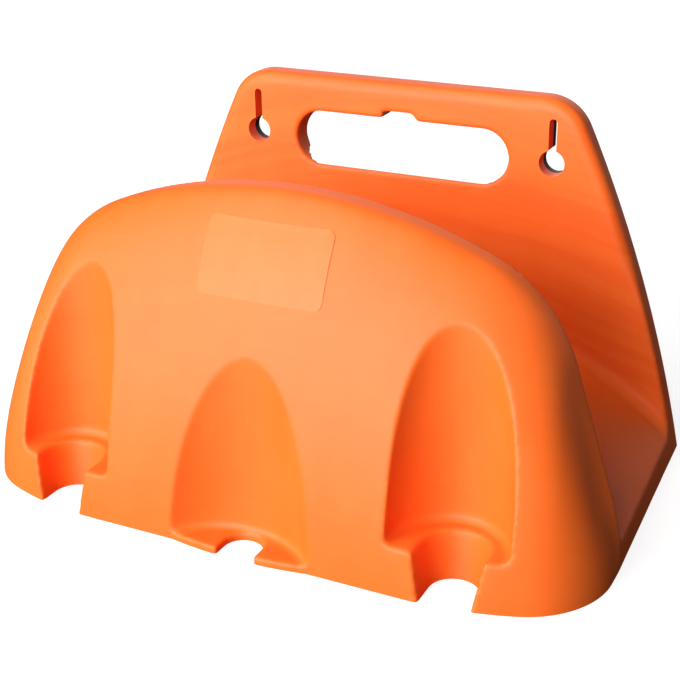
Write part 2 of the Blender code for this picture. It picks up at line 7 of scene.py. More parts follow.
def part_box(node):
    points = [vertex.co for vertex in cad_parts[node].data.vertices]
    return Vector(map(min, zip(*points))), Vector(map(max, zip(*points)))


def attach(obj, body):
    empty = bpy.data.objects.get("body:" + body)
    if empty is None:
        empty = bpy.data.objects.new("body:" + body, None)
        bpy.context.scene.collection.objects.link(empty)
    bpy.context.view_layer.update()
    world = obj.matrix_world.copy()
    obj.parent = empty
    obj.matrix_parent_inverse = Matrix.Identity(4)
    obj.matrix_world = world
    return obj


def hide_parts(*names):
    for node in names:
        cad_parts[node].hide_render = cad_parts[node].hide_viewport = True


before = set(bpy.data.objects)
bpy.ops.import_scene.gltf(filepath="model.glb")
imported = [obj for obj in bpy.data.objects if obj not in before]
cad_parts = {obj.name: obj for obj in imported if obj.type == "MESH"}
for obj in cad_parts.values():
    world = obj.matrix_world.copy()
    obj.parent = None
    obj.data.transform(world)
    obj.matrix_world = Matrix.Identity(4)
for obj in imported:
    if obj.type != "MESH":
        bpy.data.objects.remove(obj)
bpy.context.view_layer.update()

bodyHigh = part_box("hanger_body")[1]
wallPlane = bodyHigh[1]          # back of the plate's flange
plateHeight = bodyHigh[2]

# Shared sizes in metres, the same as the solids
shell = {
    "plateDepth": 0.013,         # wall to the plate's face
    "channelWidth": 0.126,       # plate's face to the back of the hood
    "hoodDepth": 0.069,          # back of the hood to its foot in front
    "footHalfBack": 0.1683,
    "footHalfFront": 0.1744,
    "wall": 0.003,
    "overrun": 0.006,
    "join": 0.003,
    "spare": 0.004,              # cut off at the floor and at the wall once the edges are soft
}
plateFace = wallPlane - shell["plateDepth"]
rimPlane = plateFace - shell["channelWidth"]
frontFace = rimPlane - shell["hoodDepth"]
quarterTurn = math.pi / 2
hair = 0.00001                   # closer than this counts as the same place
weldReach = 0.00002
cutReach = 0.000001


def activate(obj):
    if bpy.context.object and bpy.context.object.mode != "OBJECT":
        bpy.ops.object.mode_set(mode="OBJECT")
    bpy.ops.object.select_all(action="DESELECT")
    obj.select_set(True)
    bpy.context.view_layer.objects.active = obj


def named(name):
    obj = bpy.context.object
    obj.name = name
    obj.data.name = name
    return obj


def removeObject(obj):
    mesh = obj.data
    bpy.data.objects.remove(obj)
    bpy.data.meshes.remove(mesh)


def applyModifier(obj, kind, name, **values):
    activate(obj)
    modifier = obj.modifiers.new(name, kind)
    for key, value in values.items():
        setattr(modifier, key, value)
    bpy.ops.object.modifier_apply(modifier=modifier.name)


def combine(obj, others, operation):
    for other in others:
        applyModifier(obj, "BOOLEAN", operation, object=other, operation=operation, solver="EXACT")
        applyModifier(obj, "WELD", "weld", merge_threshold=weldReach)
        removeObject(other)
    return obj


def placeVertices(obj, points):
    for vertex, point in zip(obj.data.vertices, points):
        vertex.co = point


def arcPoints(x, y, radius, start, turn, steps):
    return [
        (
            x + radius * math.cos(start + turn * i / steps),
            y + radius * math.sin(start + turn * i / steps),
        )
        for i in range(steps + 1)
    ]


def chain(x, y, heading, moves, arcStep=math.radians(2.5)):
    # Arcs are (radius, turn to the right), straights are (length, None)
    points = [(x, y, heading)]
    for size, turn in moves:
        if turn is None:
            x += size * math.cos(heading)
            y += size * math.sin(heading)
            points.append((x, y, heading))
            continue
        steps = max(2, math.ceil(turn / arcStep))
        for i in range(steps):
            after = heading - turn / steps
            x += size * (math.sin(heading) - math.sin(after))
            y += size * (math.cos(after) - math.cos(heading))
            heading = after
            points.append((x, y, heading))
    return points


def spaced(points, count, shift=0.0):
    # Even shares of the length, moved outwards by shift in the middle of the way
    lengths = [0.0]
    for a, b in zip(points, points[1:]):
        lengths.append(lengths[-1] + math.hypot(b[0] - a[0], b[1] - a[1]))
    result = []
    i = 1
    for step in range(count + 1):
        share = step / count
        share += shift * share * (1 - share)
        aim = share * lengths[-1]
        while i < len(lengths) - 1 and lengths[i] < aim:
            i += 1
        part = min(1.0, (aim - lengths[i - 1]) / (lengths[i] - lengths[i - 1]))
        result.append(tuple(a + part * (b - a) for a, b in zip(points[i - 1], points[i])))
    return result


def prism(name, outline, low, high, upright=True):
    # A ring of vertices on the outline, filled and extruded: upright ones run along Y
    bpy.ops.object.select_all(action="DESELECT")
    bpy.ops.mesh.primitive_circle_add(vertices=len(outline), radius=1.0, fill_type="NGON")
    obj = named(name)
    if upright:
        placeVertices(obj, [(x, low, z) for x, z in outline])
    else:
        placeVertices(obj, [(x, y, low) for x, y in outline])
    way = (0, high - low, 0) if upright else (0, 0, high - low)
    bpy.ops.object.mode_set(mode="EDIT")
    bpy.ops.mesh.select_all(action="SELECT")
    bpy.ops.mesh.extrude_region_move(TRANSFORM_OT_translate={"value": way})
    bpy.ops.mesh.select_all(action="SELECT")
    bpy.ops.mesh.normals_make_consistent(inside=False)
    bpy.ops.object.mode_set(mode="OBJECT")
    return obj


def uprightCylinder(name, x, y, low, high, radiusLow, radiusHigh, reach=0.0, sides=96, fillet=0.0):
    # With a reach the front half is drawn forward, which gives a U in plan
    bpy.ops.object.select_all(action="DESELECT")
    bpy.ops.mesh.primitive_cone_add(
        vertices=sides, radius1=radiusLow, radius2=radiusHigh, depth=high - low,
        location=(x, y, (low + high) / 2),
    )
    obj = named(name)
    bpy.ops.object.transform_apply(location=True, rotation=True, scale=True)
    for vertex in obj.data.vertices:
        if vertex.co.y < y - hair:
            vertex.co.y -= reach
    if fillet:
        bpy.ops.object.mode_set(mode="EDIT")
        bpy.ops.mesh.select_all(action="DESELECT")
        bpy.ops.object.mode_set(mode="OBJECT")
        for edge in obj.data.edges:
            ends = [obj.data.vertices[i].co for i in edge.vertices]
            edge.select = all(abs(end.z - low) < hair for end in ends)
        bpy.ops.object.mode_set(mode="EDIT")
        bpy.ops.mesh.bevel(
            offset=fillet, segments=seats["filletSegments"], profile=0.5, affect="EDGES"
        )
        bpy.ops.object.mode_set(mode="OBJECT")
    return obj


def block(name, low, high):
    bpy.ops.object.select_all(action="DESELECT")
    middle = [(a + b) / 2 for a, b in zip(low, high)]
    bpy.ops.mesh.primitive_cube_add(size=1.0, location=middle)
    obj = named(name)
    obj.scale = [b - a for a, b in zip(low, high)]
    bpy.ops.object.transform_apply(location=True, rotation=True, scale=True)
    return obj


plate = {
    "cornerRadius": 0.0261,
    "sideTop": math.radians(64.43),    # the side's direction at its top and foot
    "sideFoot": math.radians(78.02),
    "sideSteps": 24,
    "cornerStep": math.radians(6),
    "flat": math.radians(0.3),         # faces that turn less than this are joined
    "sharp": math.radians(40),         # edges that turn more than this are rounded
    "edgeRound": 0.0068,               # the plate's front edge
    "edgeLeast": 0.04,                 # share of it low down, where the saddle runs on
    "edgeFrom": 0.080,                 # it grows between these heights
    "edgeTo": 0.115,
    "edgeSteps": 8,
    "edgeSpare": 0.0004,
    "sideRound": 0.005,                # the saddle's edges
    "sideSegments": 6,
    "panSegments": 5,
}


def plateOutline(inset, below):
    corner = plate["cornerRadius"] - inset
    top = plateHeight - inset
    half = shell["footHalfBack"] - inset
    a, b = plate["sideTop"], plate["sideFoot"]
    drop = top - corner * (1 - math.cos(a))
    side = drop / (math.cos(a) - math.cos(b))
    straight = half - corner * math.sin(a) - side * (math.sin(b) - math.sin(a))
    right = chain(0.0, top, 0.0, [(straight, None), (corner, a)], plate["cornerStep"])
    x, z = right[-1][:2]
    points = [(p[0], p[1]) for p in right[1:]]
    for i in range(1, plate["sideSteps"] + 1):
        angle = a + (b - a) * i / plate["sideSteps"]
        points.append((
            x + side * (math.sin(angle) - math.sin(a)),
            z - side * (math.cos(a) - math.cos(angle)),
        ))
    (x1, z1), (x2, z2) = points[-2:]
    points[-1] = (x2 + (x2 - x1) * below / (z1 - z2), -below)
    return [(-x, z) for x, z in reversed(points)] + points


hoodForm = {
    "height": 0.1731,
    "crownTurn": math.radians(23.41),
    "shoulderRadius": 0.0770,
    "shoulderTurn": math.radians(48.65),
    "footRadius": 0.1316,
    "frontEaseRadius": 0.160,
    "frontEaseTurn": math.radians(20.0),
    "footCornerRadius": 0.0475,
    "footHandle": 0.435,
    "footLean": (-0.003, 0.275, -0.180),
    "rimHandle": (0.0304, -0.0002, -0.0120),
    "rimRise": (math.radians(1.52), math.radians(6.19), math.radians(14.21)),
    "rimHandleLimit": 0.9,
    "rimStrip": (0.0088, 0.0, -0.015),  # flat band along the rear edge
    "rimStripHandle": 1.36,            # how much of the band the handle gives up
    "rimStripRows": 6,
    "rearWallTop": 0.1725,
    "profileShift": 0.583,
    "columns": 60,                     # from the middle to one side
    "rows": 44,
}


def rimCurve(inset):
    shoulder = hoodForm["shoulderRadius"] - inset
    foot = hoodForm["footRadius"] - inset
    turn = hoodForm["crownTurn"]
    lean = turn + hoodForm["shoulderTurn"]
    sin1, cos1, sin2, cos2 = math.sin(turn), math.cos(turn), math.sin(lean), math.cos(lean)
    fall = hoodForm["height"] - inset - shoulder * (cos1 - cos2) - foot * cos2
    reach = shell["footHalfFront"] - inset - shoulder * (sin2 - sin1) - foot * (1 - sin2)
    crown = (reach - fall * cos2 / sin2) / (sin1 - (1 - cos1) * cos2 / sin2)
    straight = (fall - crown * (1 - cos1)) / sin2
    moves = [
        (crown, turn),
        (shoulder, hoodForm["shoulderTurn"]),
        (straight, None),
        (foot, quarterTurn - lean),
    ]
    return chain(0.0, hoodForm["height"] - inset, 0.0, moves, math.radians(1.0))


def footCurve(inset):
    ease = hoodForm["frontEaseRadius"] - inset
    corner = hoodForm["footCornerRadius"] - inset
    turn = hoodForm["frontEaseTurn"]
    front = shell["footHalfFront"] - inset - ease * math.sin(turn) - corner * (1 - math.sin(turn))
    side = shell["hoodDepth"] - inset - ease * (1 - math.cos(turn)) - corner * math.cos(turn)
    moves = [(front, None), (ease, turn), (corner, quarterTurn - turn), (side, None)]
    points = chain(0.0, -(frontFace + inset), 0.0, moves)
    return [(x, -y, heading) for x, y, heading in points]


def grown(values, way):
    return values[0] + values[1] * way + values[2] * way * way


def hoodPoint(rim, foot, way, u):
    start = Vector((foot[0], foot[1], 0.0))
    rimX, rimZ, heading = rim
    end = Vector((rimX, rimPlane, rimZ))
    rise = hoodForm["footHandle"] * rimZ
    first = start + Vector((0.0, grown(hoodForm["footLean"], way) * rise, rise))
    limit = hoodForm["rimHandleLimit"] * (rimPlane - start.y)
    reach = min(grown(hoodForm["rimHandle"], way), limit)
    angle = grown(hoodForm["rimRise"], way)
    outward = Vector((-math.sin(heading), 0.0, math.cos(heading)))
    along = Vector((0.0, math.cos(angle), 0.0)) + outward * math.sin(angle)
    strip = max(grown(hoodForm["rimStrip"], way), 0.0)
    share = 1 - hoodForm["rimStripRows"] / hoodForm["rows"]
    if u > share:
        return end - along * strip * (1 - u) / (1 - share)
    end = end - along * strip
    second = end - along * (reach - strip * hoodForm["rimStripHandle"])
    u = u / share
    v = 1 - u
    return start * v ** 3 + first * 3 * v * v * u + second * 3 * v * u * u + end * u ** 3


def hoodBlock(name, inset, below):
    # A grid laid over the hood's front, then closed at its foot and back
    columns, rows = hoodForm["columns"], hoodForm["rows"]
    rim = spaced(rimCurve(inset), columns)
    foot = spaced(footCurve(inset), columns, hoodForm["profileShift"])
    bpy.ops.object.select_all(action="DESELECT")
    bpy.ops.mesh.primitive_grid_add(x_subdivisions=2 * columns, y_subdivisions=rows, size=2.0)
    obj = named(name)
    for vertex in obj.data.vertices:
        across = round((vertex.co.x + 1) / 2 * 2 * columns) - columns
        up = round((vertex.co.y + 1) / 2 * rows)
        i = abs(across)
        point = hoodPoint(rim[i], foot[i], i / columns, up / rows)
        if up == 0:
            point.y -= grown(hoodForm["footLean"], i / columns) * below
        if up == 0 or i == columns:
            point.z = -below
        vertex.co = (math.copysign(point.x, across), point.y, point.z)
    activate(obj)
    bpy.ops.object.mode_set(mode="EDIT")
    bpy.ops.mesh.select_all(action="SELECT")
    bpy.ops.mesh.remove_doubles(threshold=hair)
    bpy.ops.mesh.select_all(action="DESELECT")
    bpy.ops.object.mode_set(mode="OBJECT")
    for edge in obj.data.edges:
        ends = [obj.data.vertices[k].co for k in edge.vertices]
        edge.select = all(abs(end.z + below) < hair for end in ends)
    bpy.ops.object.mode_set(mode="EDIT")
    bpy.ops.mesh.edge_face_add()
    bpy.ops.mesh.select_all(action="SELECT")
    bpy.ops.mesh.fill_holes(sides=0)
    bpy.ops.mesh.select_all(action="SELECT")
    bpy.ops.mesh.normals_make_consistent(inside=False)
    bpy.ops.mesh.select_all(action="DESELECT")
    bpy.ops.object.mode_set(mode="OBJECT")
    return obj


saddle = {
    "radius": 0.250,
    "top": 0.075,
    "plateFillet": 0.007,
    "hoodFillet": 0.007,
    "sideBand": 0.020,                 # height up to which the side follows the hood's
    "filletSteps": 8,
    "sides": 360,
    "coreLength": 0.5,
    "spreadAt": (0.25, 0.5, 0.75, 1.0),  # rings of edges, as shares of the way to the hood
    "insideHood": 0.985,
    "seam": 0.0006,
}
axisHeight = saddle["top"] - saddle["radius"]


def channelCutter():
    # Profile over the saddle's floor with its two fillets, spun round the saddle's axis
    radius = saddle["radius"]
    front = rimPlane - shell["join"] * 2
    profile = [(radius + saddle["hoodFillet"], front)]
    profile += [(radius * 2, front), (radius * 2, plateFace)]
    plateEnd = arcPoints(
        plateFace - saddle["plateFillet"], radius + saddle["plateFillet"],
        saddle["plateFillet"], 0.0, -quarterTurn, saddle["filletSteps"],
    )
    hoodEnd = arcPoints(
        rimPlane + saddle["hoodFillet"], radius + saddle["hoodFillet"],
        saddle["hoodFillet"], -quarterTurn, -quarterTurn, saddle["filletSteps"],
    )
    profile += [(r, y) for y, r in plateEnd + hoodEnd]
    bpy.ops.object.select_all(action="DESELECT")
    bpy.ops.mesh.primitive_circle_add(vertices=len(profile), radius=1.0)
    obj = named("channel")
    placeVertices(obj, [(0.0, y, axisHeight + r) for r, y in profile])
    bpy.ops.object.mode_set(mode="EDIT")
    bpy.ops.mesh.select_all(action="SELECT")
    bpy.ops.mesh.spin(
        steps=saddle["sides"], angle=2 * math.pi, center=(0, 0, axisHeight), axis=(0, 1, 0)
    )
    bpy.ops.mesh.select_all(action="SELECT")
    bpy.ops.mesh.remove_doubles(threshold=hair)
    bpy.ops.mesh.normals_make_consistent(inside=False)
    bpy.ops.object.mode_set(mode="OBJECT")
    return obj


def halfWidth(points, height):
    right = [(p[0], p[1]) for p in points if p[0] > 0.0]
    for (x1, z1), (x2, z2) in zip(right, right[1:]):
        if z2 <= height <= z1:
            return x1 + (x2 - x1) * (z1 - height) / (z1 - z2)
    return right[-1][0]


def widen(obj):
    # The saddle spreads as it goes forward, from the plate's sides to the hood's
    activate(obj)
    bpy.ops.object.mode_set(mode="EDIT")
    for share in saddle["spreadAt"]:
        y = wallPlane + (rimPlane - wallPlane) * share
        bpy.ops.mesh.select_all(action="SELECT")
        bpy.ops.mesh.bisect(plane_co=(0, y, 0), plane_no=(0, 1, 0))
    bpy.ops.object.mode_set(mode="OBJECT")
    plateSide = plateOutline(0.0, 0.0)
    rimSide = rimCurve(0.0)
    for vertex in obj.data.vertices:
        level = max(0.0, min(vertex.co.z, saddle["sideBand"]))
        ratio = (halfWidth(rimSide, level) - saddle["seam"]) / halfWidth(plateSide, level)
        forward = (wallPlane - vertex.co.y) / (wallPlane - rimPlane)
        vertex.co.x *= 1 + (ratio - 1) * max(0.0, min(1.0, forward))
        if vertex.co.y < rimPlane - hair:
            vertex.co.x *= saddle["insideHood"]


def rollOver():
    # The room left to the plate once its front edge is rounded, from rings set one behind another
    below = 2 * shell["spare"]
    full = plate["edgeRound"]
    outer = plateOutline(-plate["edgeSpare"], below)
    inner = plateOutline(full, below)
    steps = plate["edgeSteps"]
    front, back = rimPlane - 3 * shell["join"], wallPlane + 2 * shell["spare"]
    rings = [(0.0, 0.0, back)]
    for k in range(steps + 1):
        angle = quarterTurn * k / steps
        rings.append((1 - math.cos(angle), 1 - math.sin(angle), None))
    rings.append((1.0, 0.0, front))
    bpy.ops.object.select_all(action="DESELECT")
    bpy.ops.mesh.primitive_cylinder_add(vertices=len(outer), radius=1.0, depth=1.0)
    obj = named("rollOver")
    bpy.ops.object.mode_set(mode="EDIT")
    count = len(rings)
    for k in range(1, count - 1):
        level = -0.5 + k / (count - 1)
        bpy.ops.mesh.select_all(action="SELECT")
        bpy.ops.mesh.bisect(plane_co=(0, 0, level), plane_no=(0, 0, 1))
    bpy.ops.object.mode_set(mode="OBJECT")
    for vertex in obj.data.vertices:
        x, y, z = vertex.co
        k = round((z + 0.5) * (count - 1))
        i = round(math.atan2(x, y) / (2 * math.pi) * len(outer)) % len(outer)
        (x1, z1), (x2, z2) = outer[i], inner[i]
        grow = (z1 - plate["edgeFrom"]) / (plate["edgeTo"] - plate["edgeFrom"])
        grow = max(0.0, min(1.0, grow))
        least = plate["edgeLeast"]
        radius = full * (least + (1 - least) * grow * grow * (3 - 2 * grow))
        inset, depth, place = rings[k]
        share = inset * radius / full
        if place is None:
            place = plateFace + depth * radius
        vertex.co = (x1 + (x2 - x1) * share, place, z1 + (z2 - z1) * share)
    activate(obj)
    bpy.ops.object.mode_set(mode="EDIT")
    bpy.ops.mesh.select_all(action="SELECT")
    bpy.ops.mesh.normals_make_consistent(inside=False)
    bpy.ops.object.mode_set(mode="OBJECT")
    return obj


def plateAndSaddle():
    below = shell["spare"]
    behind = wallPlane + shell["spare"]
    obj = prism("plateAndSaddle", plateOutline(0.0, below), rimPlane - shell["join"], behind)
    combine(obj, [channelCutter()], "DIFFERENCE")
    activate(obj)
    bpy.ops.object.mode_set(mode="EDIT")
    bpy.ops.mesh.select_all(action="SELECT")
    bpy.ops.mesh.dissolve_limited(angle_limit=plate["flat"])
    bpy.ops.mesh.select_all(action="DESELECT")
    bpy.ops.mesh.select_mode(type="EDGE")
    bpy.ops.mesh.edges_select_sharp(sharpness=plate["sharp"])
    bpy.ops.object.mode_set(mode="OBJECT")
    front = rimPlane - shell["join"] + hair
    back = behind - hair
    for edge in obj.data.edges:
        a, b = [obj.data.vertices[k].co for k in edge.vertices]
        onEnd = max(a.y, b.y) < front or min(a.y, b.y) > back
        if onEnd or max(a.z, b.z) < hair - below:
            edge.select = False
    bpy.ops.object.mode_set(mode="EDIT")
    bpy.ops.mesh.bevel(
        offset=plate["sideRound"], segments=plate["sideSegments"], profile=0.5, affect="EDGES",
        clamp_overlap=True
    )
    bpy.ops.object.mode_set(mode="OBJECT")
    combine(obj, [rollOver()], "INTERSECT")
    widen(obj)
    return obj


seats = {
    "sideX": 0.1075,
    "sideForward": 0.185,
    "sideRadius": 0.0295,
    "sideShelf": 0.025,
    "sideFillet": 0.004,
    "boreX": 0.109,
    "boreForward": 0.180,
    "boreTop": 0.0170,
    "boreFoot": 0.0125,
    "middleForward": 0.229,
    "middleRadius": 0.052,
    "middleShelf": 0.004,
    "middleFillet": 0.003,
    "notchRadius": 0.0105,
    "notchForward": 0.190,
    "filletSegments": 5,
    "lipBulge": 0.0035,
    "lipHalf": 0.038,
    "lipFoot": 0.0008,
    "lipSteps": 48,
}


def seatForms(grow, pastFloor):
    forms = []
    high = hoodForm["height"] + shell["overrun"]
    taper = (seats["boreTop"] - seats["boreFoot"]) / seats["sideShelf"]
    past = -shell["join"] / 3 if grow else shell["join"]
    word = "Wall" if grow else ""
    for side, hand in ((-1, "left"), (1, "right")):
        radius = seats["sideRadius"] + grow
        forms.append(uprightCylinder(
            hand + "Seat" + word, side * seats["sideX"], plateFace - seats["sideForward"],
            seats["sideShelf"] - grow, high, radius, radius,
            shell["hoodDepth"], fillet=seats["sideFillet"] + grow,
        ))
        forms.append(uprightCylinder(
            hand + "Bore" + word, side * seats["boreX"], plateFace - seats["boreForward"],
            -pastFloor, seats["sideShelf"] + past,
            seats["boreFoot"] - taper * pastFloor + grow, seats["boreTop"] + taper * past + grow,
            shell["hoodDepth"],
        ))
    forms.append(uprightCylinder(
        "middleSeat" + word, 0.0, plateFace - seats["middleForward"],
        -pastFloor if grow else seats["middleShelf"], high,
        seats["middleRadius"] + grow, seats["middleRadius"] + grow, sides=192,
        fillet=0.0 if grow else seats["middleFillet"],
    ))
    if not grow:
        forms.append(uprightCylinder(
            "notch", 0.0, plateFace - seats["notchForward"], -pastFloor,
            seats["middleShelf"] + shell["overrun"], seats["notchRadius"], seats["notchRadius"],
            shell["hoodDepth"],
        ))
    return forms


def lipBlock():
    half, bulge = seats["lipHalf"], seats["lipBulge"]
    radius = (half * half + bulge * bulge) / (2 * bulge)
    side = math.asin(half / radius)
    centre = frontFace - bulge + radius
    outline = arcPoints(0.0, centre, radius, -quarterTurn - side, 2 * side, seats["lipSteps"])
    back = frontFace + seats["middleRadius"] / 4
    outline += [(half, back), (-half, back)]
    low = seats["lipFoot"] - shell["spare"]
    return prism("lip", outline, low, seats["middleShelf"], upright=False)


openings = {
    "keyholeDrop": 0.0352,             # plate's top to the head hole's centre
    "keyholeInset": 0.0264,            # plate's side to the head hole's centre
    "keyholeHead": 0.0145,
    "keyholeSlot": 0.0045,
    "keyholeRise": 0.0244,
    "slotGap": 0.025,                  # head hole's centre to the end of the hand slot
    "slotHeight": 0.031,
    "slotDrop": 0.036,
    "notchWidth": 0.021,
    "notchRise": 0.0042,
    "notchSlant": 0.003,
    "headSteps": 64,
    "slotSteps": 20,
    "endSteps": 40,
    "collarTop": 0.001,                # the collar's gap starts this far below the slot's middle
    "collarFall": 1.17,                # and falls to this share of the slot's radius in front
}
keyholeZ = plateHeight - openings["keyholeDrop"]
slotZ = plateHeight - openings["slotDrop"]
keyholeX = halfWidth(plateOutline(0.0, 0.0), keyholeZ) - openings["keyholeInset"]
slotEnd = keyholeX - openings["slotGap"] - openings["slotHeight"] / 2


def keyholeOutline(x, grow=0.0):
    head = openings["keyholeHead"] / 2 + grow
    slot = openings["keyholeSlot"] / 2 + grow
    mouth = math.asin(slot / head)
    top = keyholeZ + openings["keyholeRise"] - openings["keyholeSlot"] / 2
    steps = openings["headSteps"]
    around = arcPoints(x, keyholeZ, head, quarterTurn + mouth, 2 * math.pi - 2 * mouth, steps)
    return around + arcPoints(x, top, slot, 0.0, math.pi, openings["slotSteps"])


def handSlotOutline(grow=0.0):
    radius = openings["slotHeight"] / 2 + grow
    steps = openings["endSteps"]
    right = arcPoints(slotEnd, slotZ, radius, -quarterTurn, math.pi, steps)
    left = arcPoints(-slotEnd, slotZ, radius, quarterTurn, math.pi, steps)
    return right + left


def hangNotchOutline():
    half = openings["notchWidth"] / 2
    edge = slotZ + openings["slotHeight"] / 2
    high = edge + openings["notchRise"]
    right = [(half, slotZ), (half, edge), (half - openings["notchSlant"], high)]
    return [(-half, slotZ)] + right + [(-half, high)]


def plateCutters(outlines):
    front = plateFace - shell["overrun"]
    back = wallPlane + shell["overrun"]
    return [prism("plateCutter", outline, front, back) for outline in outlines]


ribs = {"x": 0.056, "thickness": 0.0025, "low": 0.012}


def hollowBlock():
    # All the space inside the moulding
    wall, over, join = shell["wall"], shell["overrun"], shell["join"]
    space = hoodBlock("hollow", wall, over)
    wide = shell["footHalfFront"]
    rearWall = block(
        "rearWall", (-wide, rimPlane - wall, -2 * over),
        (wide, rimPlane + wall, hoodForm["rearWallTop"]),
    )
    combine(space, [rearWall], "DIFFERENCE")
    under = prism(
        "underSaddle", plateOutline(wall, over * 1.5),
        rimPlane - wall - join, plateFace + wall + join / 3,
    )
    bpy.ops.object.select_all(action="DESELECT")
    bpy.ops.mesh.primitive_cylinder_add(
        vertices=saddle["sides"], radius=saddle["radius"] - wall,
        depth=saddle["coreLength"], location=(0, 0, axisHeight), rotation=(quarterTurn, 0, 0),
    )
    arch = named("arch")
    bpy.ops.object.transform_apply(location=True, rotation=True, scale=True)
    combine(under, [arch], "INTERSECT")
    widen(under)
    pan = prism("pan", plateOutline(wall, over * 2), plateFace + wall, wallPlane + over * 2)
    weights = pan.data.attributes.new("bevel_weight_edge", "FLOAT", "EDGE")
    for edge, weight in zip(pan.data.edges, weights.data):
        ends = [pan.data.vertices[k].co.y for k in edge.vertices]
        weight.value = 1.0 if max(ends) < plateFace + wall + hair else 0.0
    applyModifier(
        pan, "BEVEL", "rounding", width=plate["edgeRound"] - wall,
        segments=plate["panSegments"], profile=0.5, affect="EDGES", limit_method="WEIGHT",
        use_clamp_overlap=False
    )
    combine(space, [under, pan], "UNION")
    combine(space, seatForms(wall, over * 3), "DIFFERENCE")
    front = plateFace + wall - join / 3
    kept = []
    for side, hand in ((-1, "left"), (1, "right")):
        x = side * ribs["x"]
        half = ribs["thickness"] / 2
        kept.append(block(
            hand + "Rib", (x - half, rimPlane - wall / 2, ribs["low"]),
            (x + half, plateFace + wall / 2, saddle["top"]),
        ))
        kept.append(prism(
            hand + "Boss", keyholeOutline(side * keyholeX, wall), front, wallPlane + over
        ))
    # The collar round the hand slot thins out over the lower half of its ends
    collar = prism("collar", handSlotOutline(wall), front, wallPlane + over)
    radius = openings["slotHeight"] / 2
    reach = slotEnd + radius * 2
    foot = slotZ - radius - 2 * wall
    top = slotZ - openings["collarTop"]
    gap = block("collarGap", (-reach, front - join, foot), (reach, wallPlane + 2 * over, top))
    for vertex in gap.data.vertices:
        if vertex.co.y < plateFace + wall and vertex.co.z > top - hair:
            vertex.co.z = slotZ - radius * openings["collarFall"]
    kept.append(combine(collar, [gap], "DIFFERENCE"))
    return combine(space, kept, "DIFFERENCE")


moulding = {
    "voxel": 0.0012,
    "smoothing": 0.5,
    "smoothTurns": 8,
    "triangles": 190000,
    "crease": math.radians(50),
    "hoodSpare": 0.0005,               # the hood runs this far below the plate before the cut
}


def report(obj, word):
    print(word, obj.name, "faces", len(obj.data.polygons))


def trim(obj, plane, way, **side):
    activate(obj)
    bpy.ops.object.mode_set(mode="EDIT")
    bpy.ops.mesh.select_all(action="SELECT")
    bpy.ops.mesh.bisect(plane_co=plane, plane_no=way, use_fill=True, threshold=cutReach, **side)
    bpy.ops.object.mode_set(mode="OBJECT")


def makeHanger():
    spare, over = shell["spare"], shell["overrun"]
    hanger = plateAndSaddle()
    report(hanger, "rounded block")
    combine(hanger, [hoodBlock("hood", 0.0, spare + moulding["hoodSpare"])], "UNION")
    applyModifier(hanger, "TRIANGULATE", "triangles")
    combine(hanger, [lipBlock()], "UNION")
    report(hanger, "with hood and lip")
    combine(hanger, [hollowBlock()], "DIFFERENCE")
    slots = plateCutters([handSlotOutline(), hangNotchOutline()])
    combine(hanger, seatForms(0.0, over) + slots, "DIFFERENCE")
    report(hanger, "hollowed")
    applyModifier(
        hanger, "REMESH", "skin", mode="VOXEL", voxel_size=moulding["voxel"], adaptivity=0.0
    )
    applyModifier(
        hanger, "SMOOTH", "soften", factor=moulding["smoothing"],
        iterations=moulding["smoothTurns"]
    )
    report(hanger, "softened")
    share = moulding["triangles"] / (2 * len(hanger.data.polygons))
    if share < 1.0:
        applyModifier(hanger, "DECIMATE", "lighten", ratio=share)
    trim(hanger, (0, 0, 0), (0, 0, 1), clear_inner=True)
    trim(hanger, (0, wallPlane, 0), (0, 1, 0), clear_outer=True)
    keyholes = plateCutters([keyholeOutline(-keyholeX), keyholeOutline(keyholeX)])
    combine(hanger, keyholes, "DIFFERENCE")
    activate(hanger)
    bpy.ops.object.shade_smooth_by_angle(angle=moulding["crease"])
    hanger.name = "hanger"
    hanger.data.name = "hanger"
    report(hanger, "finished")
    return hanger


label = {
    "halfWidth": 0.034,
    "bottom": 0.125,
    "top": 0.160,
    "corner": 0.004,
    "cornerSteps": 5,
    "spacing": 0.002,
    "thickness": 0.0003,
    "ahead": 0.02,                     # it starts this far in front of the hood's face
    "easing": 3,
    "crease": math.radians(40),
}


